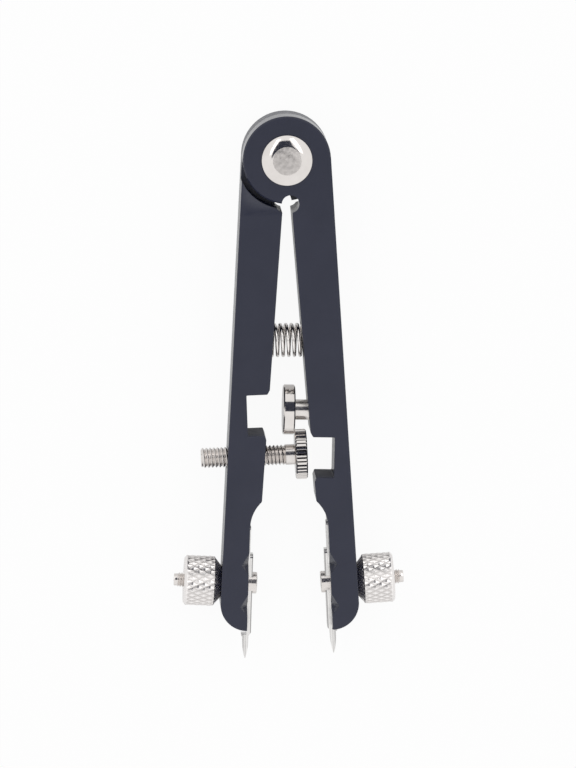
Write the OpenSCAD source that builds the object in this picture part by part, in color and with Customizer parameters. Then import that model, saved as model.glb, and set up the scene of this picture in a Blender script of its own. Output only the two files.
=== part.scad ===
// Spring bar pliers: two arms on a riveted lap joint, pushed apart by a coil
// spring, with two hooked stops in the middle and a clamped forked tip on each arm.
// They lie on their back, pivot axis upright, tips towards -Y. The origin is the
// middle of the rivet's rear face, and everything stands in its rest pose.

/* [Arms] */
// Thickness of the arms, front to back
arm_t = 12; // [8:0.5:16]
// Diameter of the round pivot end
hub_d = 21; // [18:0.5:26]
// Lean of the outer faces from the centre line, in degrees
outer_lean = 3.27; // [2.5:0.01:4]
// Lean of the inner faces from the centre line, in degrees
inner_lean = 4.35; // [3.8:0.01:5]
// Distance of each inner face from the centre line, measured at the pivot
inner_gap = 0.24; // [0.1:0.02:0.6]
// Distance from the pivot to the ends of the arms
arm_len = 114.1; // [112:0.1:120]
// Gap between a round end and the shoulder of the other arm
hub_gap = 1.4; // [0.6:0.1:2]
// Gap between the two halves of the lap joint
lap_gap = 0.1; // [0.04:0.02:0.3]
// Chamfer on the round ends
hub_chamfer = 0.35; // [0.1:0.05:0.8]
// Diameter of the relief hole in the crotch
relief_d = 4.2; // [2:0.1:6]
// Distance from the pivot to the relief hole
relief_y = 10.5; // [9:0.1:12]

/* [Rivet] */
// Diameter of the rivet's shank
rivet_d = 6.4; // [4:0.1:8]
// Diameter of the rear head and of the front washer
rivet_head_d = 12; // [10:0.2:15]
// Height of the rear head
rivet_head_h = 1.7; // [1:0.1:3]
// Height of the front washer
rivet_washer_h = 1.5; // [0.8:0.1:2.5]
// Diameter of the peened end and of the flat on the rear head
peen_d = 6.8; // [6.6:0.1:9]
// Height of the upright edge of the head and the washer
rivet_rim_h = 0.35; // [0.2:0.05:0.6]
// Crown of the peened end
peen_h = 0.35; // [0.1:0.05:0.8]

/* [Spring] */
// Distance from the pivot to the spring's axis
spring_y = 44.2; // [38:0.1:48]
// Outer diameter of the spring
spring_d = 8.2; // [5:0.1:9]
// Wire diameter
wire_d = 0.85; // [0.5:0.05:1]
// Distance from one curl to the next
spring_pitch = 1.35; // [1.3:0.05:2.5]
// Distance of each pocket's floor from the centre line
pocket_x = 6.6; // [5:0.1:8]
// Gap round the spring in its pocket
pocket_gap = 0.3; // [0.1:0.05:0.6]
// Turn of the spring about its own axis, in degrees
spring_turn = 204; // [0:1:359]

/* [Notches] */
// Height of the left arm's notch
left_notch_h = 9.9; // [6:0.1:12]
// Height of the right arm's notch
right_notch_h = 9.8; // [6:0.1:12]
// How much nearer the pivot the right notch lies than the wheel across from it
right_notch_rise = 0.4; // [0:0.1:1]
// How much further from the pivot the left notch lies than the disc across from it
left_notch_drop = 0.2; // [0:0.1:1]
// Depth of the left arm's notch from the inner face
left_notch_depth = 5; // [2:0.1:6.5]
// Depth of the right arm's notch from the inner face
right_notch_depth = 5.2; // [2:0.1:6.5]
// Height of the chamfer at a notch's mouth
mouth_chamfer_h = 1.1; // [0.2:0.1:2]
// Width of the chamfer at a notch's mouth
mouth_chamfer_w = 0.5; // [0.1:0.1:1]

/* [Stops] */
// Distance from the pivot to the upper stop, which the right arm carries
upper_stop_y = 61.1; // [58:0.1:63]
// Distance from the pivot to the lower stop, which the left arm carries
lower_stop_y = 72.1; // [70:0.1:73]
// Tilt of the stop studs, in degrees, higher at the centre line
stop_tilt = 1.6; // [0:0.1:3]
// Diameter of the stop studs
stud_d = 4.9; // [4:0.1:6]
// Distance from the centre line to the upper stud's end
upper_stud_end = 12; // [9:0.1:13]
// Distance from the centre line to the lower stud's end
lower_stud_end = 20.9; // [17:0.1:26]
// Diameter of the wheel and the disc
wheel_d = 12; // [11.6:0.1:12.6]
// Thickness of the wheel and the disc
wheel_t = 2.8; // [2:0.05:3]
// Chamfer on the wheel and the disc
wheel_chamfer = 0.3; // [0.1:0.05:0.6]
// Where the wheel and the disc meet, right of the centre line
stop_x = 1.7; // [1.2:0.05:2]
// Gap between the wheel and the disc at rest
stop_gap = 0.08; // [0.06:0.02:0.2]
// Number of grooves round the knurled wheel
wheel_grooves = 40; // [24:1:48]
// Depth of those grooves
wheel_groove_depth = 0.28; // [0.1:0.02:0.35]
// Diameter of the stud's end inside the wheel or the disc
spigot_d = 3; // [2:0.1:3.6]
// Length of the stud's end inside the wheel or the disc
spigot_l = 1.9; // [1:0.1:1.9]

/* [Tip seats] */
// Distance from the clamp posts to the ends of the arms
post_to_end = 10.8; // [10:0.1:12]
// Depth of the seats in the inner faces, at the posts
seat_step = 1.83; // [1:0.01:2.6]
// Lean of the seats from the centre line, in degrees
seat_lean = 2.1; // [1:0.1:3.2]
// Radius of the hollow above each seat
hollow_r = 9; // [5:0.5:12]
// Distance from the posts up to where the hollow meets the seat
hollow_y = 14.5; // [13:0.1:17]
// Radius of the rounded outer corner at the end of the arm
arm_end_r = 6.45; // [4:0.05:6.5]
// Distance of the grooves from the post, up and down
groove_y = 5.1; // [4.5:0.1:6]
// Depth of the grooves at the front and back faces; they run out beside the blade
groove_depth = 1.85; // [0.8:0.05:2.2]
// Length of a groove's upper flank along the seat
groove_up = 3.2; // [1.5:0.1:4]
// Length of a groove's lower flank along the seat
groove_down = 2.2; // [1:0.1:3]
// Diameter of the washers sunk in the seats
seat_washer_d = 10; // [8:0.1:11]
// Thickness of those washers
seat_washer_t = 0.5; // [0.3:0.05:0.8]

/* [Tips] */
// How much further down the left tip is clamped than the right one
left_drop = 1; // [0:0.1:2]
// Thickness of the backing strips
strip_t = 0.4; // [0.2:0.05:0.6]
// Distance from the post to the top of the strip
strip_up = 15; // [11:0.1:17]
// Width of the strips and the blades
blade_w = 3.7; // [2.5:0.1:4]
// Thickness of the blades
blade_t = 0.7; // [0.5:0.05:1]
// Distance from the post to the top of the blade
blade_up = 8.2; // [5:0.1:10]
// Gap between the right tip's shoulder and the end of the arm
shoulder_gap = 0.7; // [0.3:0.1:1.2]
// Height of the shoulder
shoulder_h = 0.4; // [0.3:0.1:1.2]
// Height of the bevel at the blade's lower corner
tip_bevel_h = 1; // [0.6:0.1:1.6]
// Width of that bevel
tip_bevel_w = 0.6; // [0.2:0.1:0.8]
// How far the shoulder reaches out past the seat
shoulder_out = 1.2; // [0.9:0.1:2]
// Length of the fork below the shoulder
fork_l = 5.5; // [4:0.1:8]
// Length of the fork's bowed taper
fork_taper_l = 4.4; // [2:0.1:5]
// Thickness of the fork
fork_t = 1.4; // [0.8:0.1:1.6]
// How far the middle of the fork stands out past the seat
fork_out = 0.18; // [0:0.02:0.4]
// Thickness of the fork's tip
fork_tip_t = 0.16; // [0.1:0.02:0.4]
// Width of the fork
fork_w = 3.2; // [2.4:0.1:3.6]
// Length over which the fork's prongs narrow
fork_narrow_l = 2.6; // [1:0.1:4]
// Width of the fork's tip across both prongs
fork_tip_w = 2.2; // [1.8:0.1:3]
// Width of the fork's slot
fork_slot_w = 1; // [0.6:0.1:1.4]
// Depth of the fork's slot
fork_slot_l = 3; // [1.5:0.1:4]

/* [Clamps] */
// Diameter of the clamp posts
post_d = 5.2; // [4.8:0.1:6]
// How far the posts stand out of the seat
post_h = 2.2; // [1.8:0.1:3]
// Depth of the posts' holes in the arm
post_depth = 3; // [2.4:0.1:3.5]
// Gap round a post in its hole
post_gap = 0.08; // [0.04:0.02:0.1]
// Room behind the blade in the post's slot, for opening the clamp
post_slack = 1; // [0.8:0.1:1.6]
// Thread diameter of the posts' tails
tail_d = 3.5; // [3:0.1:4]
// How far the tails stand out of their nuts
tail_out = 2.35; // [1.5:0.05:6]
// Diameter of the plain end of the tails
tail_plain_d = 2.9; // [2:0.1:3.4]
// Length of that plain end
tail_plain_l = 0.8; // [0.5:0.1:1.4]
// Diameter of the knurled nuts
nut_d = 12.1; // [10:0.1:15]
// Length of the nuts' knurled part, with its chamfer
nut_l = 7.5; // [4:0.1:8]
// Chamfer at the nuts' outer end
nut_chamfer = 0.7; // [0.3:0.1:1.2]
// Width of the small bevel where the knurl meets the cone
nut_edge = 0.5; // [0.2:0.1:0.8]
// Length of the nuts' cone towards the arm
nut_cone_l = 1.4; // [0.6:0.1:2]
// Diameter of the small end of the cone
nut_cone_d = 7.8; // [6:0.1:10]

/* [Fits] */
// Gap between a pin or thread and its hole, on each side
fit = 0.05; // [0.02:0.01:0.1]
// Gap between faces that slide on each other
face_gap = 0.05; // [0.03:0.01:0.1]

/* [Hidden] */
$fn = 64;

hub_r = hub_d / 2;
rear_z = rivet_head_h;
mid_z = rear_z + arm_t / 2;
front_z = rear_z + arm_t;
half_t = (arm_t - lap_gap) / 2;
wheel_r = wheel_d / 2;
stud_r = stud_d / 2;
blade_back = strip_t + blade_t;
clamp_y = arm_len - post_to_end;
shoulder_y = post_to_end + shoulder_gap;
thread_wall = stud_r + fit;

// Distance of the outer and the inner face from the centre line, at a distance from the pivot
function outer_x(d) = hub_r / cos(outer_lean) + d * tan(outer_lean);
function inner_x(d) = inner_gap + d * tan(inner_lean);

// Distance of the seats from the centre line at the posts, and of the nuts from there
seat_x = inner_x(clamp_y) + seat_step;
nut_face = (outer_x(clamp_y) - seat_x) * cos(outer_lean) + face_gap;
nut_end = nut_face + nut_cone_l + nut_l;

// Length of a cut that runs right out of an arm
cut = 2 * outer_x(arm_len);

black = [0.22, 0.24, 0.28];
nickel = [0.86, 0.83, 0.80];
steel = [0.72, 0.72, 0.72];
spring_steel = [0.80, 0.80, 0.82];

// Frames of the right arm, which the left arm mirrors

// Seat frame: x out of the arm's seat towards its outer face, -y down the seat
module at_seat(drop = 0) {
    translate([seat_x, -clamp_y, mid_z])
        rotate([0, 0, seat_lean])
            translate([0, -drop, 0])
                children();
}

// Clamp frame: x along a post's tail, square to the arm's outer face
module at_clamp() {
    translate([seat_x, -clamp_y, mid_z])
        rotate([0, 0, outer_lean])
            children();
}

// Stop frame: x along a stud, into the arm that carries it
module at_stop(distance) {
    translate([0, -distance, mid_z])
        rotate([0, 0, -stop_tilt])
            children();
}

module left() {
    mirror([1, 0, 0])
        children();
}

// Solids turned to lie along x, from x1 to x2
module rod(x1, x2, r) {
    translate([x1, 0, 0])
        rotate([0, 90, 0])
            cylinder(h = x2 - x1, r = r);
}

module turned_along_x(outline) {
    rotate([0, 90, 0])
        rotate_extrude()
            polygon(outline);
}

// Outline of the right arm below its round end
module arm_outline() {
    side = [cos(outer_lean), sin(outer_lean)];
    down = [0, -1];
    end_d = arm_len - arm_end_r;
    end = [outer_x(end_d) - arm_end_r / cos(outer_lean), -end_d];
    difference() {
        polygon([
            [inner_x(0), 0],
            hub_r * side,
            [outer_x(arm_len), -arm_len],
            [inner_x(arm_len), -arm_len]
        ]);
        // The round is a hair larger than the corner, so that it crosses the outer faces
        translate(end)
            difference() {
                polygon([[0, 0], 2 * arm_end_r * side, 2 * arm_end_r * (side + down), 2 * arm_end_r * down]);
                circle(r = arm_end_r + 0.01);
            }
        translate([seat_x, -clamp_y])
            rotate(seat_lean)
                seat_cuts();
    }
}

// What the seat frame takes off the outline: the seat and the hollow above it
module seat_cuts() {
    translate([-cut, -cut])
        square([cut, cut + hollow_y]);
    translate([-hollow_r, hollow_y])
        circle(r = hollow_r);
}

// The grooves slant in from the front and the back face and run out beside the blade
module grooves() {
    run = (arm_t - blade_w) / 2;
    slant = atan(groove_depth / run);
    depth = groove_depth * cos(slant);
    for (face = [0, 1], y = [groove_y, -groove_y])
        mirror([0, 0, face])
            translate([0, y, arm_t / 2])
                rotate([0, slant, 0])
                    translate([0, 0, -2 * run])
                        linear_extrude(4 * run)
                            polygon([[depth, 0], [-depth, -2 * groove_down], [-depth, 2 * groove_up]]);
}

// Distance from the centre line to the inner face along a stop's axis, and above it
function mouth_x(distance, y) =
    inner_x(distance) * cos(inner_lean) / cos(inner_lean + stop_tilt) - y * tan(inner_lean + stop_tilt);

// A notch lies across from the other arm's stop, square to its stud. Its chamfers
// run on past the inner face.
module notch(distance, height, depth) {
    top = height / 2;
    edge = top + mouth_chamfer_h;
    floor_x = mouth_x(distance, 0) + depth;
    upper = [mouth_x(distance, top) + mouth_chamfer_w, top];
    lower = [mouth_x(distance, -top) + mouth_chamfer_w, -top];
    translate([0, -distance])
        rotate(-stop_tilt)
            polygon([
                2 * [mouth_x(distance, edge), edge] - upper,
                upper,
                [floor_x, top],
                [floor_x, -top],
                lower,
                2 * [mouth_x(distance, -edge), -edge] - lower
            ]);
}

// One half of the lap joint, with its outer rim chamfered: from z = 0 up, chamfer on top
module hub() {
    cylinder(h = half_t - hub_chamfer, r = hub_r);
    translate([0, 0, half_t - hub_chamfer])
        cylinder(h = hub_chamfer, r1 = hub_r, r2 = hub_r - hub_chamfer);
}

// A right-hand arm whose half of the lap joint is the front one; the rear one is its mirror
module arm(stop_distance, notch_distance, notch_h, notch_depth) {
    relief_x = relief_y * tan(inner_lean);
    difference() {
        union() {
            translate([0, 0, rear_z])
                linear_extrude(arm_t)
                    difference() {
                        arm_outline();
                        notch(notch_distance, notch_h, notch_depth);
                    }
            translate([0, 0, mid_z + lap_gap / 2])
                hub();
        }
        translate([0, 0, rear_z - arm_t / 2])
            cylinder(h = arm_t + lap_gap / 2, r = hub_r + hub_gap);
        translate([0, 0, rear_z - 1])
            cylinder(h = arm_t + 2, r = rivet_d / 2 + fit);
        translate([relief_x, -relief_y, rear_z - 1])
            cylinder(h = arm_t + 2, d = relief_d);
        at_stop(stop_distance)
            rod(0, cut, thread_wall);
        translate([0, -spring_y, mid_z])
            rod(0, pocket_x, spring_d / 2 + pocket_gap);
        at_seat() {
            grooves();
            rod(-1, seat_washer_t, seat_washer_d / 2 + post_gap);
        }
        at_clamp() {
            rod(-1, post_depth, post_d / 2 + post_gap);
            rod(0, cut, tail_d / 2 + fit);
        }
    }
}

module left_arm() {
    color(black)
        translate([0, 0, 2 * mid_z])
            mirror([0, 0, 1])
                left()
                    arm(lower_stop_y, upper_stop_y + left_notch_drop, left_notch_h, left_notch_depth);
}

module right_arm() {
    color(black)
        arm(upper_stop_y, lower_stop_y - right_notch_rise, right_notch_h, right_notch_depth);
}

// The shank runs through both arms; the rear head and the peened end hold them
module pivot_rivet() {
    shank_r = rivet_d / 2;
    head_r = rivet_head_d / 2;
    peen_r = peen_d / 2;
    washer_top = front_z + face_gap + rivet_washer_h;
    color(nickel)
        rotate_extrude()
            polygon([
                [0, 0],
                [peen_r, 0],
                [head_r, rear_z - rivet_rim_h],
                [head_r, rear_z],
                [shank_r, rear_z],
                [shank_r, washer_top],
                [peen_r, washer_top],
                [peen_r * 0.6, washer_top + peen_h * 0.8],
                [0, washer_top + peen_h]
            ]);
}

module pivot_washer() {
    bottom = front_z + face_gap;
    color(nickel)
        rotate_extrude()
            polygon([
                [rivet_d / 2 + fit, bottom],
                [rivet_head_d / 2, bottom],
                [rivet_head_d / 2, bottom + rivet_rim_h],
                [peen_d / 2 + 0.1, bottom + rivet_washer_h],
                [rivet_d / 2 + fit, bottom + rivet_washer_h]
            ]);
}

// A stop's disc, whose hooked face is at x = face, with a blind hole for the stud's end
module stop_disc(face) {
    hole_r = spigot_d / 2 + fit;
    turned_along_x([
        [hole_r, face],
        [wheel_r - wheel_chamfer, face],
        [wheel_r, face - wheel_chamfer],
        [wheel_r, face - wheel_t + wheel_chamfer],
        [wheel_r - wheel_chamfer, face - wheel_t],
        [0, face - wheel_t],
        [0, face - spigot_l],
        [hole_r, face - spigot_l]
    ]);
}

// Its stud, and the stud's thinner end inside the disc
module stop_stud(face, end) {
    rod(face + face_gap, end, stud_r);
    rod(face + face_gap - spigot_l, face + 1, spigot_d / 2);
}

upper_face = stop_x - stop_gap / 2;
lower_face = -stop_x - stop_gap / 2;

module upper_stop_stud() {
    color(nickel)
        at_stop(upper_stop_y)
            stop_stud(upper_face, upper_stud_end);
}

module upper_stop_disc() {
    color(nickel)
        at_stop(upper_stop_y)
            stop_disc(upper_face);
}

module lower_stop_stud() {
    color(nickel)
        left()
            at_stop(lower_stop_y)
                stop_stud(lower_face, lower_stud_end);
}

module lower_stop_wheel() {
    color(nickel)
        left()
            at_stop(lower_stop_y)
                difference() {
                    stop_disc(lower_face);
                    for (i = [0 : wheel_grooves - 1])
                        rotate([i * 360 / wheel_grooves, 0, 0])
                            translate([lower_face - wheel_t - 1, 0, wheel_r])
                                rotate([45, 0, 0])
                                    translate([0, -wheel_groove_depth, -wheel_groove_depth] / sqrt(2))
                                        cube([wheel_t + 2, 1, 1]);
                }
}

// Spring: one tube along a helix, whose ends turn and run straight into the pocket floors
rings_per_curl = 8;
wire_sides = 6;
coil_r = (spring_d - wire_d) / 2;
coil_l = 2 * (pocket_x - 2 * wire_d);
curls = floor(coil_l / spring_pitch * rings_per_curl) / rings_per_curl;
pitch = coil_l / curls;

function coil_point(turn) =
    [-coil_l / 2 + turn * pitch, coil_r * cos(360 * turn), coil_r * sin(360 * turn)];
function coil_heading(turn) =
    let (v = [pitch / (2 * PI * coil_r), -sin(360 * turn), cos(360 * turn)]) v / norm(v);

// The bend from the last curl to the straight end: a curve of two points and the straight end
function coil_end(turn, way) =
    let (p = coil_point(turn), t = way * coil_heading(turn), a = [way, 0, 0])
    [
        p + wire_d * (0.45 * t + 0.12 * a),
        p + wire_d * (0.75 * t + 0.45 * a),
        p + wire_d * (0.85 * t + 1 * a),
        [way * pocket_x, 0, 0] + flat(p + wire_d * 0.85 * t)
    ];
function flat(p) = [0, p[1], p[2]];
function backwards(list) = [for (i = [len(list) - 1 : -1 : 0]) list[i]];

spring_path = concat(
    backwards(coil_end(0, -1)),
    [for (i = [0 : curls * rings_per_curl]) coil_point(i / rings_per_curl)],
    coil_end(curls, 1)
);

function unit(v) = v / norm(v);
function heading(path, i) =
    i == 0 ? [1, 0, 0]
    : i == len(path) - 1 ? [1, 0, 0]
    : unit(unit(path[i + 1] - path[i]) + unit(path[i] - path[i - 1]));

// Each ring is built on the direction away from the coil's axis
function ring(path, i) =
    let (
        t = heading(path, i),
        out = unit(flat(path[i])),
        side = unit(cross(t, out)),
        up = cross(side, t)
    )
    [for (k = [0 : wire_sides - 1])
        path[i] + wire_d / 2 * (cos(360 * k / wire_sides) * up + sin(360 * k / wire_sides) * side)];

function tube_faces(rings, n) = concat(
    [for (i = [0 : rings - 2], k = [0 : n - 1])
        [i * n + k, (i + 1) * n + (k + 1) % n, (i + 1) * n + k]],
    [for (i = [0 : rings - 2], k = [0 : n - 1])
        [i * n + k, i * n + (k + 1) % n, (i + 1) * n + (k + 1) % n]],
    [for (k = [1 : n - 2]) [0, k + 1, k]],
    [for (k = [1 : n - 2]) [(rings - 1) * n, (rings - 1) * n + k, (rings - 1) * n + k + 1]]
);

module spring() {
    rings = len(spring_path);
    color(spring_steel)
        translate([0, -spring_y, mid_z])
            rotate([spring_turn, 0, 0])
                polyhedron(
                    points = [for (i = [0 : rings - 1]) each ring(spring_path, i)],
                    faces = tube_faces(rings, wire_sides)
                );
}

// Least distance between points of the wire more than half a curl apart, less the wire
own_gap = min([
    for (i = [0 : len(spring_path) - 1], j = [i + rings_per_curl / 2 : 1 : len(spring_path) - 1])
        norm(spring_path[i] - spring_path[j])
]) - wire_d;
echo(spring_gap_to_itself = own_gap, curls = curls);

// Tips, drawn in the seat frame. The blade lies on the strip and the fork hangs
// from its shoulder, both seen edge-on from the front.
module blade_plate(x1, x2, y1, y2, w, corner) {
    rotate([0, 90, 0])
        translate([0, 0, x1])
            linear_extrude(x2 - x1)
                union() {
                    translate([-w / 2, y1])
                        square([w, y2 - y1 - corner]);
                    translate([-w / 2 + corner, y1])
                        square([w - 2 * corner, y2 - y1]);
                    for (side = [1, -1])
                        translate([side * (w / 2 - corner), y2 - corner])
                            circle(r = corner);
                }
}

module strip() {
    blade_plate(-strip_t, 0, -shoulder_y, strip_up, blade_w, 0.8);
}

module tip() {
    bottom = -shoulder_y - shoulder_h;
    bevel_top = bottom + tip_bevel_h;
    lap = 0.1;
    blade_plate(-blade_back, -strip_t, bevel_top, blade_up, blade_w, 1);
    translate([0, 0, -blade_w / 2])
        linear_extrude(blade_w)
            polygon([
                [-blade_back, bevel_top + lap],
                [-blade_back, bevel_top],
                [-blade_back + tip_bevel_w, bottom],
                [shoulder_out, bottom],
                [shoulder_out, -shoulder_y],
                [-strip_t, -shoulder_y],
                [-strip_t, bevel_top + lap]
            ]);
    translate([0, bottom, 0])
        intersection() {
            translate([0, 0, -blade_w / 2])
                linear_extrude(blade_w)
                    fork_profile(lap);
            rotate([0, 90, 0])
                translate([0, 0, -cut / 2])
                    linear_extrude(cut)
                        fork_outline(lap);
        }
}

// The fork seen from the front: straight at the top, then bowed in to a thin edge
module fork_profile(top) {
    inset = (fork_t - fork_tip_t) / 2;
    bow_r = (fork_taper_l ^ 2 + inset ^ 2) / (2 * inset);
    steps = 8;
    bow = [for (i = [0 : steps])
        let (d = fork_taper_l * i / steps)
            [fork_t / 2 - bow_r + sqrt(bow_r ^ 2 - d ^ 2), fork_taper_l - fork_l - d]];
    translate([fork_out, 0])
        polygon(concat(
            [[-fork_t / 2, top], [fork_t / 2, top]],
            bow,
            [for (i = [steps : -1 : 0]) [-bow[i][0], bow[i][1]]]
        ));
}

// The fork seen from the side: two prongs round a slot with a round bottom
module fork_outline(top) {
    narrow_y = fork_narrow_l - fork_l;
    slot_y = fork_slot_l - fork_slot_w / 2 - fork_l;
    difference() {
        polygon([
            [-fork_w / 2, top],
            [-fork_w / 2, narrow_y],
            [-fork_tip_w / 2, -fork_l],
            [fork_tip_w / 2, -fork_l],
            [fork_w / 2, narrow_y],
            [fork_w / 2, top]
        ]);
        translate([-fork_slot_w / 2, -fork_l - 1])
            square([fork_slot_w, slot_y + fork_l + 1]);
        translate([0, slot_y])
            circle(d = fork_slot_w);
    }
}

module left_tip() {
    color(steel)
        left()
            at_seat(left_drop)
                tip();
}

module right_tip() {
    color(steel)
        at_seat()
            tip();
}

module left_strip() {
    color(steel)
        left()
            at_seat(left_drop)
                strip();
}

module right_strip() {
    color(steel)
        at_seat()
            strip();
}

module seat_washer() {
    difference() {
        rod(0, seat_washer_t, seat_washer_d / 2);
        rod(-1, seat_washer_t + 1, post_d / 2 + post_gap);
    }
}

module left_seat_washer() {
    color(nickel)
        left()
            at_seat()
                seat_washer();
}

module right_seat_washer() {
    color(nickel)
        at_seat()
            seat_washer();
}

// A post with a slot for the blade and the strip, and a threaded tail with a plain end.
// The slot lies along the seat, like the blade.
module post() {
    tail_x = nut_end + tail_out;
    difference() {
        union() {
            rod(-post_h, post_depth - face_gap, post_d / 2);
            rod(0, tail_x - tail_plain_l, tail_d / 2);
            rod(0, tail_x, tail_plain_d / 2);
        }
        rotate([0, 0, seat_lean - outer_lean])
            translate([-blade_back, -cut / 2, -blade_w / 2 - fit])
                cube([blade_back + post_slack, cut, blade_w + 2 * fit]);
    }
}

module left_post() {
    color(nickel)
        left()
            at_clamp()
                post();
}

module right_post() {
    color(nickel)
        at_clamp()
            post();
}

// Nut with a cone towards the arm and a chamfer outside
module nut() {
    nut_r = nut_d / 2;
    hole_r = tail_d / 2 + fit;
    body_x = nut_face + nut_cone_l;
    turned_along_x([
        [hole_r, nut_face],
        [nut_cone_d / 2, nut_face],
        [nut_r - nut_edge, body_x],
        [nut_r, body_x + nut_edge / 2],
        [nut_r, nut_end - nut_chamfer],
        [nut_r - nut_chamfer, nut_end],
        [hole_r, nut_end]
    ]);
}

module left_nut() {
    color(nickel)
        left()
            at_clamp()
                nut();
}

module right_nut() {
    color(nickel)
        at_clamp()
            nut();
}

left_arm();
right_arm();
pivot_rivet();
pivot_washer();
spring();
lower_stop_stud();
lower_stop_wheel();
upper_stop_stud();
upper_stop_disc();
left_tip();
right_tip();
left_strip();
right_strip();
left_seat_washer();
right_seat_washer();
left_post();
right_post();
left_nut();
right_nut();
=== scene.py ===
"""Spring bar pliers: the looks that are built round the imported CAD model.

The pliers lie on their back: pivot axis upright, tips towards -Y, seen from above.
Sizes are in millimetres here and become metres where Blender gets them.
"""

import math

import bmesh
import bpy
from mathutils import Matrix, Vector


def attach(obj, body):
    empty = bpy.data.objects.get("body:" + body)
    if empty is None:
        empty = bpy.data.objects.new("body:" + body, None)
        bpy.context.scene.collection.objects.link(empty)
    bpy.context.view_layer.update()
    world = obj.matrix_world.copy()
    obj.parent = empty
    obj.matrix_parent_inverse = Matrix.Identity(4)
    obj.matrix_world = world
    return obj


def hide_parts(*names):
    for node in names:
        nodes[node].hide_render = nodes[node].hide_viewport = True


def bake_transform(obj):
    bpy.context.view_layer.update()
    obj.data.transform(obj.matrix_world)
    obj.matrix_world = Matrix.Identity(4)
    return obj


MM = 0.001

# Places and sizes that repeat the CAD model's named values
MID_Z = 7.7
CLAMP_Y = 103.3
CLAMP_X = 9.928
CLAMP_LEAN = 3.27
SEAT_LEAN = 2.1
LOWER_STOP_Y = 72.1
STOP_TILT = 1.6
STUD_R = 2.45
SPIGOT_R = 1.5
LOWER_FACE = -1.74
FACE_GAP = 0.05
SPIGOT_L = 1.9
LOWER_STUD_END = 20.9
WHEEL_R = 6
WHEEL_GROOVE = 0.28
WASHER_R = 6
WASHER_Z = 13.75
WASHER_RIM = 0.35
WASHER_H = 1.5
WASHER_TOP_R = 3.5
WASHER_BORE_R = 3.25
TAIL_R = 1.75
TAIL_PLAIN_R = 1.45
TAIL_PLAIN_L = 0.8
TAIL_END = 17.781
POST_DEPTH = 3
NUT_R = 6.05
NUT_L = 7.5
NUT_FACE = 6.531
NUT_CONE_L = 1.4
NUT_CONE_R = 3.9
NUT_BORE_R = 1.8
NUT_EDGE = 0.5
NUT_CHAMFER = 0.7
SPRING_Y = 44.2
SPRING_R = 4.1
SPRING_TURN = 204
WIRE_R = 0.425
POCKET_X = 6.6
CURLS = 7.25

# The round end of the arms, with its relief hole, begins at this height along Y
HUB_END_Y = -13.5

# How far the polished cone of the pivot's washer bulges
WASHER_DOME = 0.2

# Threads: pitch, depth and end chamfer
STUD_PITCH, STUD_THREAD, STUD_CHAMFER = 0.9, 0.42, 0.45
TAIL_PITCH, TAIL_THREAD, TAIL_CHAMFER = 0.6, 0.33, 0.25

# A thread's form: how steep its flanks are, how wide its crests, and mesh steps for each pitch
THREAD_FLANK = 1.35
THREAD_CREST = 0.17
THREAD_ROWS = 8

# Length of the plain shank between the wheel and the lower stud's thread
SHANK_L = 2.3

# The knurl: grooves each way round the nut, length of a diamond, depth
KNURL_AROUND = 26
KNURL_PITCH = 2.8
KNURL_DEPTH = 0.25

# The knurled length: its distance from the cone and from the outer end, and where it fades
KNURL_START = 0.25
KNURL_STOP = 0.6
KNURL_FADE = 0.15

# Mesh steps of the knurl: rings along it, and points round it for each groove
KNURL_RINGS = 19
KNURL_SAMPLES = 8

# Where the spring's coil stops, each way from its middle, to leave room for the bent ends
COIL_HALF = POCKET_X - 4 * WIRE_R

# How far the wire's ends run on before they bend, and along the pocket after the bend
END_BEND = 0.62

# Mesh steps of the spring: along each curl, along each bend, and round the wire
CURL_STEPS = 28
BEND_STEPS = 8
WIRE_SIDES = 14

# Edge bevels, and the angles that count as flat and as sharp
ARM_BEVEL = 0.22
POST_BEVEL = 0.15
FLAT_ANGLE = 1
SHARP_ANGLE = 35

# Points closer than this are one, in metres
SAME_POINT = 1e-7

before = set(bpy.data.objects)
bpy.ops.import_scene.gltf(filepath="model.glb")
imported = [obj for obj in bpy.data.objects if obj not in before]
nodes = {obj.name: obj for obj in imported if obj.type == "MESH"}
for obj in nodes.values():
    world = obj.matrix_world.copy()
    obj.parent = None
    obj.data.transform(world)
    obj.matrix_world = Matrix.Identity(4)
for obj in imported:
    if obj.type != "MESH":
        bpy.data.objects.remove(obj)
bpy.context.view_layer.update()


# Camera: the photograph's, fitted to the outlines of the arms

IMAGE_H = 768
FOCAL_PX = 6500
SENSOR = 36
CAMERA_AT = (-66.95, 205.27, 1544.55)
CAMERA_ELEVATION = 9.6
CAMERA_SIDE = 2.5
CAMERA_ROLL = -0.37


def make_camera():
    elevation, side = math.radians(CAMERA_ELEVATION), math.radians(CAMERA_SIDE)
    back = Vector((
        -math.sin(side) * math.cos(elevation),
        math.sin(elevation),
        math.cos(side) * math.cos(elevation),
    ))
    right = Vector((0, 1, 0)).cross(back).normalized()
    up = back.cross(right)
    turn = Matrix((right, up, back)).transposed()
    roll = Matrix.Rotation(math.radians(CAMERA_ROLL), 3, "Z")
    data = bpy.data.cameras.new("camera")
    data.sensor_fit = "AUTO"
    data.sensor_width = SENSOR
    data.lens = SENSOR * FOCAL_PX / IMAGE_H
    data.clip_start, data.clip_end = 0.05, 20
    camera = bpy.data.objects.new("camera", data)
    camera.matrix_world = Matrix.Translation(Vector(CAMERA_AT) * MM) @ (turn @ roll).to_4x4()
    bpy.context.scene.collection.objects.link(camera)
    bpy.context.scene.camera = camera


make_camera()


# Materials

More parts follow.
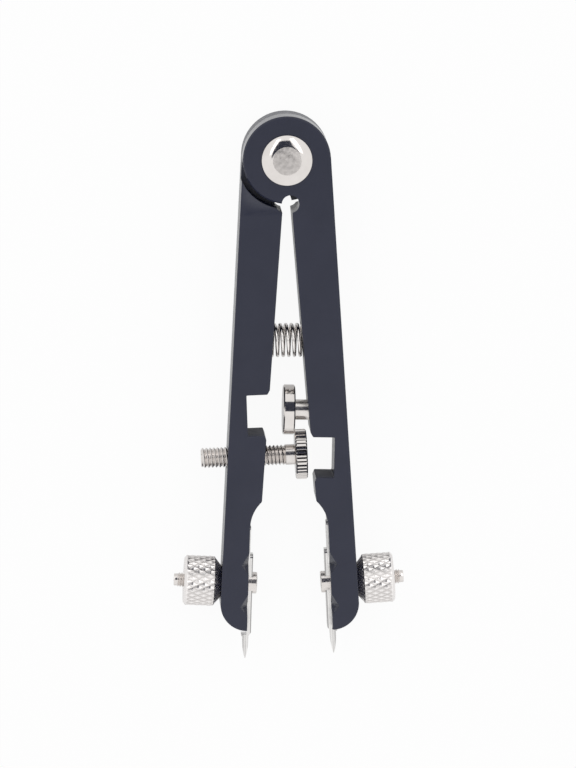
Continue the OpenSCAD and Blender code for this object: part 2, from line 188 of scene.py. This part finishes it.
class Nodes:
    """A material's node tree, with a short way to add and link nodes."""

    def __init__(self, name):
        self.material = bpy.data.materials.new(name)
        self.material.use_nodes = True
        self.tree = self.material.node_tree
        self.shader = self.tree.nodes["Principled BSDF"]
        self.place = self.add("ShaderNodeTexCoord").outputs["Object"]

    def add(self, kind, inputs=None, **settings):
        node = self.tree.nodes.new(kind)
        for key, value in settings.items():
            setattr(node, key, value)
        for key, value in (inputs or {}).items():
            if isinstance(value, bpy.types.NodeSocket):
                self.tree.links.new(value, node.inputs[key])
            else:
                node.inputs[key].default_value = value
        return node

    def math(self, operation, *values):
        node = self.add("ShaderNodeMath", dict(enumerate(values)), operation=operation)
        return node.outputs[0]

    def vector(self, operation, *values, output="Vector"):
        node = self.add("ShaderNodeVectorMath", dict(enumerate(values)), operation=operation)
        return node.outputs[output]

    def parts(self, vector):
        """The X, Y and Z of a vector."""
        return self.add("ShaderNodeSeparateXYZ", {"Vector": vector}).outputs

    def noise(self, scale, detail, stretch=None):
        """Noise of scale lumps per metre; stretch multiplies that along each axis."""
        place = self.place
        if stretch:
            place = self.add("ShaderNodeMapping", {"Vector": place, "Scale": stretch}).outputs[0]
        inputs = {"Vector": place, "Scale": scale, "Detail": detail}
        return self.add("ShaderNodeTexNoise", inputs).outputs["Fac"]

    def spread(self, value, low, high, start=0.3, end=0.7):
        """Maps a value's start and end to low and high. The defaults suit noise."""
        return self.add("ShaderNodeMapRange", {
            "Value": value, "From Min": start, "From Max": end, "To Min": low, "To Max": high,
        }).outputs["Result"]

    def colours(self, value, first, last, start=0.3, end=0.7):
        ramp = self.add("ShaderNodeValToRGB", {"Fac": value})
        stops = ramp.color_ramp.elements
        stops[0].position, stops[1].position = start, end
        stops[0].color, stops[1].color = (*first, 1), (*last, 1)
        return ramp.outputs["Color"]

    def bump(self, height, strength, depth):
        inputs = {"Height": height, "Strength": strength, "Distance": depth * MM}
        return self.add("ShaderNodeBump", inputs).outputs[0]

    def set(self, **sockets):
        for key, value in sockets.items():
            name = key.replace("_", " ")
            if isinstance(value, bpy.types.NodeSocket):
                self.tree.links.new(value, self.shader.inputs[name])
            else:
                self.shader.inputs[name].default_value = value
        return self.material


def anodised():
    """Black anodising, whose gloss follows how each surface was cut.

    Walls that face the ends are dull and those that face sideways are glossier. The turned
    walls of the round end and of its relief hole are smooth, and smoothest in the front half.
    """
    steep, sideways = 0.35, 0.9
    hole_half_width, round_end_from = 3.5 * MM, 0.5 * MM
    wall_change, end_wall_change = -0.14, 0.39
    turned_change, front_change = -0.03, -0.2
    n = Nodes("black_anodised")
    patches = n.noise(120, 4)
    place = n.parts(n.place)
    normal = n.parts(n.add("ShaderNodeNewGeometry").outputs["Normal"])
    wall = n.math("LESS_THAN", n.math("ABSOLUTE", normal["Z"]), steep)
    faces_end = n.math("LESS_THAN", n.math("ABSOLUTE", normal["X"]), sideways)
    end_wall = n.math("MULTIPLY", wall, faces_end)
    in_hole = n.math(
        "MULTIPLY",
        n.math("COMPARE", place["X"], 0.0, hole_half_width),
        n.math("GREATER_THAN", place["Y"], HUB_END_Y * MM),
    )
    by_pivot = n.math("MAXIMUM", in_hole, n.math("GREATER_THAN", place["Y"], round_end_from))
    turned_wall = n.math("MULTIPLY", wall, by_pivot)
    front_half = n.math("GREATER_THAN", place["Z"], MID_Z * MM)
    black = n.colours(patches, (0.011, 0.014, 0.034), (0.015, 0.018, 0.040))
    milled = n.math(
        "MULTIPLY_ADD", wall, wall_change, n.math("MULTIPLY", end_wall, end_wall_change))
    dulled = n.math("ADD", milled, n.spread(n.noise(700, 4), 0.30, 0.38))
    smoothed = n.math(
        "MULTIPLY_ADD", front_half, front_change, n.math("SUBTRACT", turned_change, milled))
    return n.set(
        Base_Color=black,
        Roughness=n.math("MULTIPLY_ADD", turned_wall, smoothed, dulled),
        Normal=n.bump(n.noise(9000, 3), 0.1, 0.02),
        IOR=1.5,
    )


def nickel(name="nickel", low=0.16, high=0.24, grain=0.02, pale=0.0):
    """Nickel with a roughness from low to high. pale is added to its colour."""
    n = Nodes(name)
    darker = [value + pale for value in (0.72, 0.685, 0.66)]
    lighter = [value + pale for value in (0.79, 0.755, 0.73)]
    return n.set(
        Base_Color=n.colours(n.noise(300, 4), darker, lighter),
        Metallic=1.0,
        Roughness=n.spread(n.noise(1500, 4), low, high),
        Normal=n.bump(n.noise(7000, 3), grain, 0.02),
    )


# Painted shade lines on a tip's narrow side: distance from the seat, and share of the steel's
# colour there
TIP_PAINTED_SHADE = (
    (-1.1, 0.7), (-1.0, 0.45), (-0.86, 0.45), (-0.8, 1), (-0.46, 1), (-0.4, 0.6),
    (-0.34, 1), (0.02, 1), (0.1, 0.5), (0.2, 1), (0.85, 0.6),
)
TIP_FROM = -1.1
TIP_TO = 0.9


def steel_with_painted_lines(name, place):
    """Steel of a tip, with painted shade lines for its rounded edges on the narrow front and back.

    place is the frame of the seat; the lines run at set distances from the seat.
    """
    faces_front = 0.8
    n = Nodes(name)
    scratches = n.noise(500, 3, stretch=(6, 1, 6))
    away = n.vector("SUBTRACT", n.place, place.translation)
    depth = n.vector("DOT_PRODUCT", away, place.to_3x3() @ Vector((1, 0, 0)), output="Value")
    across = n.spread(depth, 0, 1, TIP_FROM * MM, TIP_TO * MM)
    # The painted shade lines, as a ramp across the narrow side
    line = n.add("ShaderNodeValToRGB", {"Fac": across})
    stops = line.color_ramp.elements
    while len(stops) < len(TIP_PAINTED_SHADE):
        stops.new(0.5)
    for stop, (x, grey) in zip(stops, TIP_PAINTED_SHADE):
        stop.position = (x - TIP_FROM) / (TIP_TO - TIP_FROM)
        stop.color = (grey, grey, grey, 1)
    normal = n.add("ShaderNodeNewGeometry").outputs["Normal"]
    narrow = n.math("GREATER_THAN", n.math("ABSOLUTE", n.parts(normal)["Z"]), faces_front)
    steel = n.colours(scratches, (0.78, 0.765, 0.755), (0.84, 0.83, 0.815))
    lined = n.add(
        "ShaderNodeMixRGB",
        {"Fac": narrow, "Color1": steel, "Color2": line.outputs["Color"]},
        blend_type="MULTIPLY",
    ).outputs["Color"]
    return n.set(
        Base_Color=lined,
        Metallic=1.0,
        Roughness=n.spread(n.noise(1200, 4), 0.20, 0.26),
        Normal=n.bump(scratches, 0.04, 0.02),
    )


def peened():
    """The rivet's hammered end, rougher and darker in its hollows."""
    n = Nodes("peened_end")
    lumps = n.noise(1100, 4)
    return n.set(
        Base_Color=n.colours(lumps, (0.47, 0.445, 0.43), (0.66, 0.63, 0.61)),
        Metallic=1.0,
        Roughness=n.spread(lumps, 0.35, 0.6),
        Normal=n.bump(lumps, 0.35, 0.2),
    )


def groove_shaded(name, place, ends, radii, dark, light, rough):
    """Nickel with painted shade in the grooves between two ends, darker by the distance from the
    axis.

    radii are those of the grooves' bottom and of the surface between them.
    """
    n = Nodes(name)
    axis = place.to_3x3() @ Vector((1, 0, 0))
    away = n.vector("SUBTRACT", n.place, place.translation)
    along = n.vector("DOT_PRODUCT", away, axis, output="Value")
    radius = n.vector("LENGTH", n.vector("CROSS_PRODUCT", away, axis), output="Value")
    height = n.spread(radius, 0, 1, radii[0] * MM, radii[1] * MM)
    middle, half = (ends[0] + ends[1]) / 2 * MM, abs(ends[1] - ends[0]) / 2 * MM
    plain = n.math("SUBTRACT", 1, n.math("COMPARE", along, middle, half))
    # Painted shade: the colour runs from dark at the grooves' bottoms to light between them
    return n.set(
        Base_Color=n.colours(n.math("MAXIMUM", height, plain), dark, light, 0, 0.9),
        Metallic=1.0,
        Roughness=n.spread(n.noise(1500, 4), *rough),
    )


BLACK = anodised()
NICKEL = nickel()
POLISHED = nickel("polished_nickel", 0.08, 0.14, 0.01)
WIRE = nickel("spring_wire", 0.12, 0.18, 0.01, pale=0.17)
PEENED = peened()


# Mesh helpers

def shade(mesh, angle):
    """Smooth shading, with edges sharper than the angle kept sharp."""
    mesh.shade_smooth()
    mesh.set_sharp_from_angle(angle=math.radians(angle))


def mesh_piece(name, mesh, material, body, slot, *stands_for):
    """An object of the mesh, which rides on its body and may stand for CAD nodes."""
    mesh.materials.clear()
    mesh.materials.append(material)
    piece = bpy.data.objects.new(name, mesh)
    bpy.context.scene.collection.objects.link(piece)
    if body:
        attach(piece, body)
    if stands_for:
        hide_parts(*stands_for)
    return piece


def clean_mesh(name, points, faces, place, angle=30):
    """A closed mesh from points in millimetres, put at its place, doubles merged."""
    mesh = bpy.data.meshes.new(name)
    mesh.from_pydata([Vector(p) * MM for p in points], [], faces)
    bm = bmesh.new()
    bm.from_mesh(mesh)
    bmesh.ops.remove_doubles(bm, verts=bm.verts, dist=SAME_POINT)
    bmesh.ops.dissolve_degenerate(bm, edges=bm.edges, dist=SAME_POINT / 10)
    bmesh.ops.holes_fill(bm, edges=[e for e in bm.edges if e.is_boundary], sides=0)
    bmesh.ops.recalc_face_normals(bm, faces=bm.faces)
    bm.to_mesh(mesh)
    bm.free()
    mesh.transform(place)
    shade(mesh, angle)
    return mesh


def split(bm, point, normal, **clear):
    """Cuts a bmesh by a plane and returns the edges of the cut."""
    geometry = bm.verts[:] + bm.edges[:] + bm.faces[:]
    made = bmesh.ops.bisect_plane(bm, geom=geometry, plane_co=point, plane_no=normal, **clear)
    return [e for e in made["geom_cut"] if isinstance(e, bmesh.types.BMEdge)]


def bevelled(name, source, width, cut=None, below=None):
    """A copy of a CAD mesh with its flat faces merged and its sharp edges bevelled.

    cut is a plane that ends the copy; below is the height along Y where the bevels stop.
    """
    mesh = source.data.copy()
    mesh.name = name
    bm = bmesh.new()
    bm.from_mesh(mesh)
    bmesh.ops.remove_doubles(bm, verts=bm.verts, dist=2 * SAME_POINT)
    if cut:
        edges = split(bm, *cut, clear_outer=True)
        bmesh.ops.holes_fill(bm, edges=edges, sides=0)
    bmesh.ops.dissolve_limit(
        bm, angle_limit=math.radians(FLAT_ANGLE), verts=bm.verts, edges=bm.edges, delimit=set())
    highest = math.inf
    if below is not None:
        split(bm, (0, below * MM, 0), (0, 1, 0))
        highest = (below + 0.01) * MM
    weight = bm.edges.layers.float.new("bevel_weight_edge")
    for e in bm.edges:
        sharp = e.is_manifold and e.calc_face_angle() > math.radians(SHARP_ANGLE)
        if sharp and max(v.co.y for v in e.verts) < highest:
            e[weight] = 1
    bm.to_mesh(mesh)
    bm.free()
    shade(mesh, SHARP_ANGLE)
    holder = bpy.data.objects.new(name + "_holder", mesh)
    bpy.context.scene.collection.objects.link(holder)
    bevel = holder.modifiers.new("bevel", "BEVEL")
    bevel.width = width * MM
    bevel.segments = 2
    bevel.limit_method = "WEIGHT"
    bevel.use_clamp_overlap = False
    flats = holder.modifiers.new("flats", "WEIGHTED_NORMAL")
    flats.keep_sharp = True
    shown = holder.evaluated_get(bpy.context.evaluated_depsgraph_get())
    made = bpy.data.meshes.new_from_object(shown)
    bpy.data.objects.remove(holder)
    return made


def frame_at(x, y, angle):
    """A place whose x runs along a stud or post, turned by angle in the plane of the arms."""
    turn = Matrix.Rotation(math.radians(angle), 4, "Z")
    return Matrix.Translation(Vector((x, y, MID_Z)) * MM) @ turn


LOWER_STOP = frame_at(0, -LOWER_STOP_Y, 180 + STOP_TILT)
SEATS = {
    "left": frame_at(-CLAMP_X, -CLAMP_Y, 180 - SEAT_LEAN),
    "right": frame_at(CLAMP_X, -CLAMP_Y, SEAT_LEAN),
}
CLAMPS = {
    "left": frame_at(-CLAMP_X, -CLAMP_Y, 180 - CLAMP_LEAN),
    "right": frame_at(CLAMP_X, -CLAMP_Y, CLAMP_LEAN),
}


def turned(stations, around, relief=None):
    """Points and faces of a ring or solid turned about x.

    stations are (x, radius) all round the outline; relief(x, angle) is taken off the radius,
    and each face is then split along the diagonal that lies on the relief.
    """
    points, faces, depths = [], [], []
    rings = len(stations)
    step = 2 * math.pi / around
    for x, r in stations:
        for k in range(around):
            depth = relief(x, k * step) if relief else 0
            depths.append(depth)
            points.append((x, (r - depth) * math.cos(k * step), (r - depth) * math.sin(k * step)))
    for i in range(rings - 1):
        for k in range(around):
            m = (k + 1) % around
            a, b = i * around + k, i * around + m
            c, d = b + around, a + around
            if not relief:
                faces.append((a, b, c, d))
                continue
            middle = relief((stations[i][0] + stations[i + 1][0]) / 2, (k + 0.5) * step)
            if abs(depths[a] + depths[c] - 2 * middle) < abs(depths[b] + depths[d] - 2 * middle):
                faces += [(a, b, c), (a, c, d)]
            else:
                faces += [(b, c, d), (b, d, a)]
    return points, faces


def threaded(x1, x2, r, pitch, depth, chamfer, around):
    """Points and faces of a threaded rod from x1 to x2, with a chamfer at x2."""

    def radius(x, a):
        phase = ((x - x1) / pitch - a / (2 * math.pi)) % 1
        wave = min(1, max(0, THREAD_FLANK * abs(2 * phase - 1) - THREAD_CREST))
        return min(r - depth * wave, r - chamfer + abs(x - x2))

    columns = int((x2 - x1) / pitch * THREAD_ROWS) + 2 * THREAD_ROWS + 1
    points, faces = [], []
    for k in range(around):
        a = 2 * math.pi * k / around
        for j in range(columns):
            x = x1 + pitch * (j / THREAD_ROWS - 1 + k / around)
            x = min(x2, max(x1, x))
            points.append((x, radius(x, a) * math.cos(a), radius(x, a) * math.sin(a)))
    for k in range(around):
        last = k == around - 1
        for j in range(columns - 1):
            m = j + THREAD_ROWS if last else j
            n = 0 if last else k + 1
            if m + 1 < columns:
                here, there = k * columns + j, n * columns + m
                faces.append((here, there, there + 1, here + 1))
    return points, faces


# Arms

for side in ("left", "right"):
    name = side + "_arm"
    bar = bevelled(name, nodes[name], ARM_BEVEL, below=HUB_END_Y)
    mesh_piece(name + "_bar", bar, BLACK, name, "black_anodised", name)


# Rivet, seat washers, tips, strips, wheel, disc and upper stud keep their CAD meshes

LEFT_STEEL = steel_with_painted_lines("left_steel", SEATS["left"])
RIGHT_STEEL = steel_with_painted_lines("right_steel", SEATS["right"])
# Painted shade in the wheel's grooves: nearly black at their bottoms
WHEEL = groove_shaded(
    "wheel_groove_shade", LOWER_STOP, (LOWER_FACE - 0.3, LOWER_FACE - 2.5),
    (WHEEL_R - WHEEL_GROOVE, WHEEL_R - 0.02),
    (0.20, 0.19, 0.185), (0.78, 0.745, 0.72), rough=(0.08, 0.14))
for name, material in (
    ("pivot_rivet", PEENED),
    ("left_tip", LEFT_STEEL), ("left_strip", LEFT_STEEL),
    ("right_tip", RIGHT_STEEL), ("right_strip", RIGHT_STEEL),
    ("left_seat_washer", NICKEL), ("right_seat_washer", NICKEL),
    ("lower_stop_wheel", WHEEL), ("upper_stop_disc", POLISHED), ("upper_stop_stud", NICKEL),
):
    node = nodes[name]
    node.data.materials.clear()
    node.data.materials.append(material)
    shade(node.data, 25)


# Pivot's washer, whose polished cone is slightly domed

def domed_washer():
    rim = Vector((WASHER_RIM, WASHER_R))
    top = Vector((WASHER_H, WASHER_TOP_R))
    chord = top - rim
    out = Vector((-chord.y, chord.x)).normalized()
    outline = [
        (0, WASHER_BORE_R), (0, WASHER_R - 0.06), (0.06, WASHER_R), (WASHER_RIM - 0.04, WASHER_R),
    ]
    steps = 16
    for i in range(steps + 1):
        t = i / steps
        outline.append(tuple(rim + chord * t + out * WASHER_DOME * 4 * t * (1 - t)))
    outline += [(WASHER_H, WASHER_BORE_R), (0, WASHER_BORE_R)]
    upright = Matrix.Rotation(math.radians(-90), 4, "Y")
    place = Matrix.Translation((0, 0, WASHER_Z * MM)) @ upright
    mesh = clean_mesh("pivot_washer", *turned(outline, 96), place)
    mesh_piece("pivot_washer_domed", mesh, POLISHED, "left_arm", "nickel", "pivot_washer")


domed_washer()


# Lower stop's stud: spigot, plain shank and thread

def lower_stud():
    edge, neck_l, neck_depth = 0.1, 0.2, 0.3
    start = LOWER_FACE + FACE_GAP
    shank_end = start + SHANK_L
    points, faces = threaded(
        shank_end, LOWER_STUD_END, STUD_R, STUD_PITCH, STUD_THREAD, STUD_CHAMFER, around=48)
    thread = clean_mesh("lower_stud_thread", points, faces, LOWER_STOP)
    outline = [
        (start - SPIGOT_L, 0), (start - SPIGOT_L, SPIGOT_R), (start, SPIGOT_R),
        (start, STUD_R - edge), (start + edge, STUD_R), (shank_end - edge, STUD_R),
        (shank_end + neck_l, STUD_R - neck_depth), (shank_end + neck_l, 0),
    ]
    shank = clean_mesh("lower_stud_shank", *turned(outline, 64), LOWER_STOP)
    mesh_piece("lower_stud_thread", thread, NICKEL, "lower_stop_stud", "nickel", "lower_stop_stud")
    mesh_piece("lower_stud_shank", shank, NICKEL, "lower_stop_stud", "nickel")


lower_stud()


# Clamp posts: slotted head and threaded tail

def clamp_post(side):
    """The CAD's head, cut off inside the arm, then a threaded tail and the tail's plain end.

    The tail and its end each start a little inside the piece before.
    """
    name = side + "_post"
    clamp = CLAMPS[side]
    head_end, overlap = POST_DEPTH - 0.06, 0.3
    cut_at = clamp @ (Vector((head_end, 0, 0)) * MM)
    outwards = (clamp.to_3x3() @ Vector((1, 0, 0))).normalized()
    head = bevelled(name, nodes[name], POST_BEVEL, cut=(cut_at, outwards))
    mesh_piece(name + "_head", head, NICKEL, name, "nickel", name)
    thread_start, thread_end = POST_DEPTH - overlap, TAIL_END - TAIL_PLAIN_L
    points, faces = threaded(
        thread_start, thread_end, TAIL_R, TAIL_PITCH, TAIL_THREAD, TAIL_CHAMFER, around=36)
    tail = clean_mesh(name + "_tail", points, faces, clamp)
    mesh_piece(name + "_tail", tail, NICKEL, name, "nickel")
    outline = [
        (thread_end - overlap, 0), (thread_end - overlap, TAIL_PLAIN_R),
        (TAIL_END - 0.15, TAIL_PLAIN_R), (TAIL_END - 0.04, TAIL_PLAIN_R - 0.04),
        (TAIL_END, TAIL_PLAIN_R - 0.15), (TAIL_END, 0),
    ]
    tail_end = clean_mesh(name + "_tail_end", *turned(outline, 40), clamp)
    mesh_piece(name + "_tail_end", tail_end, NICKEL, name, "nickel")


# Knurled nuts

def knurl(start, end):
    """Depth of a diamond knurl between two stations, fading out at its edges."""

    def ridge(phase):
        return abs(2 * (phase % 1) - 1)

    def depth(x, a):
        fade = min(1, max(0, min(x - start, end - x) / KNURL_FADE))
        turns = a / (2 * math.pi) * KNURL_AROUND
        along = (x - start) / KNURL_PITCH
        crossing = max(ridge(turns + along), ridge(turns - along))
        return KNURL_DEPTH * fade * crossing

    return depth


def nut(side):
    """A nut with a cone towards the arm, a knurled length, and a chamfer and sunk hole outside.

    The small steps beside each edge round it off.
    """
    name = side + "_nut"
    sink_r, sink_depth = NUT_BORE_R + 0.4, 0.35
    cone_end = NUT_FACE + NUT_CONE_L
    end = cone_end + NUT_L
    edge_r, outer_r = NUT_R - NUT_EDGE, NUT_R - NUT_CHAMFER
    knurl_start, knurl_end = cone_end + KNURL_START, end - KNURL_STOP
    knurl_l = knurl_end - knurl_start
    stations = [
        (NUT_FACE, NUT_BORE_R), (NUT_FACE, NUT_CONE_R - 0.05), (NUT_FACE + 0.05, NUT_CONE_R + 0.02),
        (cone_end - 0.03, edge_r - 0.03), (cone_end, edge_r + 0.02),
    ]
    stations += [
        (knurl_start + knurl_l * i / KNURL_RINGS, NUT_R) for i in range(KNURL_RINGS + 1)]
    stations += [
        (end - 0.08, outer_r + 0.11), (end, outer_r - 0.05),
        (end, sink_r), (end - sink_depth, NUT_BORE_R), stations[0],
    ]
    relief = knurl(cone_end - 0.1, knurl_end)
    points, faces = turned(stations, KNURL_AROUND * KNURL_SAMPLES, relief)
    mesh = clean_mesh(name, points, faces, CLAMPS[side], 20)
    # Painted shade in the knurl's grooves: greyer at their bottoms
    material = groove_shaded(
        name, CLAMPS[side], (cone_end, knurl_end), (NUT_R - KNURL_DEPTH, NUT_R - 0.04),
        (0.62, 0.595, 0.58), (0.93, 0.9, 0.885), rough=(0.24, 0.32))
    mesh_piece(name + "_knurled", mesh, material, name, "nickel", name)


for side in ("left", "right"):
    clamp_post(side)
    nut(side)


# Spring: one tube whose ends turn and run straight into the pockets

def spring_route():
    """Points of the wire's middle, in millimetres from the middle of the spring."""
    coil_r = SPRING_R - WIRE_R
    steps = int(CURLS * CURL_STEPS)
    coil = []
    for i in range(steps + 1):
        x = -COIL_HALF + 2 * COIL_HALF * i / steps
        a = 2 * math.pi * (CURLS * i / steps)
        coil.append(Vector((x, coil_r * math.cos(a), coil_r * math.sin(a))))

    def end(point, heading, way):
        corner = point + heading * END_BEND
        stop = corner + Vector((way, 0, 0)) * END_BEND
        last = Vector((way * (POCKET_X - 0.02), corner.y, corner.z))
        bend = []
        for i in range(1, BEND_STEPS + 1):
            t = i / BEND_STEPS
            bend.append(point * (1 - t) ** 2 + corner * 2 * t * (1 - t) + stop * t * t)
        return bend + [stop.lerp(last, 0.5), last]

    first = end(coil[0], (coil[0] - coil[1]).normalized(), -1)
    last = end(coil[-1], (coil[-1] - coil[-2]).normalized(), 1)
    return first[::-1] + coil + last


def tube(route, r, sides):
    """Points and faces of a round tube along a route that winds about x."""
    points, faces = [], []
    for i, p in enumerate(route):
        ahead = route[min(i + 1, len(route) - 1)] - route[max(i - 1, 0)]
        ahead.normalize()
        out = Vector((0, p.y, p.z)).normalized()
        across = ahead.cross(out).normalized()
        up = across.cross(ahead)
        for k in range(sides):
            a = 2 * math.pi * k / sides
            points.append(p + up * r * math.cos(a) + across * r * math.sin(a))
    for i in range(len(route) - 1):
        for k in range(sides):
            m = (k + 1) % sides
            faces.append((i * sides + k, i * sides + m, (i + 1) * sides + m, (i + 1) * sides + k))
    return points, faces


spring_place = frame_at(0, -SPRING_Y, 0) @ Matrix.Rotation(math.radians(SPRING_TURN), 4, "X")
spring_tube = tube(spring_route(), WIRE_R, WIRE_SIDES)
spring_mesh = clean_mesh("spring_wire", *spring_tube, spring_place, 60)
spring = mesh_piece("spring_wire", spring_mesh, WIRE, None, "spring_wire", "spring")
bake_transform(spring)


# Floor, card and lights: places and sizes are in metres here

FLOOR_SIZE = 6
FLOOR_COLOUR = (0.86, 0.86, 0.86, 1)

# The share of the floor's look that is plain white, to the camera and in reflections
FLOOR_TO_CAMERA = 0.94
FLOOR_IN_REFLECTIONS = 0.45

# Strength of the world's light on the pliers; seen directly or in metal it is 1
WORLD_LIGHT = 0.8

# Lamps: name, place, size across and along the pliers, watts; and the point that they face
LAMPS = (
    ("key", (-0.57, 0.65, 1.0), (0.22, 1.2), 1.1),
    ("fill", (0.47, 0.65, 1.0), (0.28, 1.2), 1.5),
)
LAMPS_AIM = (0, -0.05, 0)

# The dark card
CARD_AT = (-0.09, 0.45, 1.0)
CARD_SIZE = (0.62, 1.0, 1)
CARD_COLOUR = (0.05, 0.055, 0.08, 1)


def make_floor():
    bpy.ops.mesh.primitive_plane_add(size=FLOOR_SIZE, location=(0, 0, 0))
    floor = bpy.context.object
    floor.name = "floor"
    n = Nodes("floor_white")
    n.set(Base_Color=FLOOR_COLOUR, Roughness=0.9, Specular_IOR_Level=0.0)
    path = n.add("ShaderNodeLightPath").outputs
    share = n.math(
        "MAXIMUM",
        n.math("MULTIPLY", path["Is Camera Ray"], FLOOR_TO_CAMERA),
        n.math("MULTIPLY", path["Is Glossy Ray"], FLOOR_IN_REFLECTIONS),
    )
    glow = n.add("ShaderNodeEmission", {"Color": (1, 1, 1, 1), "Strength": 1.0})
    mix = n.add("ShaderNodeMixShader", {0: share, 1: n.shader.outputs[0], 2: glow.outputs[0]})
    output = n.tree.nodes["Material Output"]
    n.tree.links.new(mix.outputs[0], output.inputs["Surface"])
    floor.data.materials.append(n.material)


def make_card():
    """A dark card that only reflections show, as one hangs over polished metal."""
    bpy.ops.mesh.primitive_plane_add(size=1, location=CARD_AT)
    card = bpy.context.object
    card.name = "card"
    card.scale = CARD_SIZE
    card.visible_camera = False
    card.visible_diffuse = False
    card.visible_transmission = False
    card.visible_shadow = False
    n = Nodes("card_dark")
    dark = n.set(Base_Color=CARD_COLOUR, Roughness=1.0, Specular_IOR_Level=0.0)
    card.data.materials.append(dark)


def area_light(name, at, size, power):
    """A lamp whose longer side runs along the pliers, so polished domes show long highlights."""
    data = bpy.data.lights.new(name, "AREA")
    data.shape = "RECTANGLE"
    data.size, data.size_y = size
    data.energy = power
    lamp = bpy.data.objects.new(name, data)
    back = (Vector(at) - Vector(LAMPS_AIM)).normalized()
    across = Vector((0, 1, 0)).cross(back).normalized()
    turn = Matrix((across, back.cross(across), back)).transposed()
    lamp.matrix_world = Matrix.Translation(at) @ turn.to_4x4()
    bpy.context.scene.collection.objects.link(lamp)


def make_world():
    """A white world, whose light on the pliers is weaker than its look."""
    world = bpy.data.worlds.new("studio")
    world.use_nodes = True
    tree = world.node_tree
    background = tree.nodes["Background"]
    path = tree.nodes.new("ShaderNodeLightPath")
    seen = tree.nodes.new("ShaderNodeMath")
    seen.operation = "MAXIMUM"
    tree.links.new(path.outputs["Is Camera Ray"], seen.inputs[0])
    tree.links.new(path.outputs["Is Glossy Ray"], seen.inputs[1])
    strength = tree.nodes.new("ShaderNodeMapRange")
    tree.links.new(seen.outputs["Value"], strength.inputs["Value"])
    strength.inputs["To Min"].default_value = WORLD_LIGHT
    strength.inputs["To Max"].default_value = 1.0
    tree.links.new(strength.outputs["Result"], background.inputs["Strength"])
    background.inputs["Color"].default_value = (1, 1, 1, 1)
    bpy.context.scene.world = world


make_floor()
make_card()
make_world()
for lamp in LAMPS:
    area_light(*lamp)
bpy.context.scene.view_settings.view_transform = "Standard"
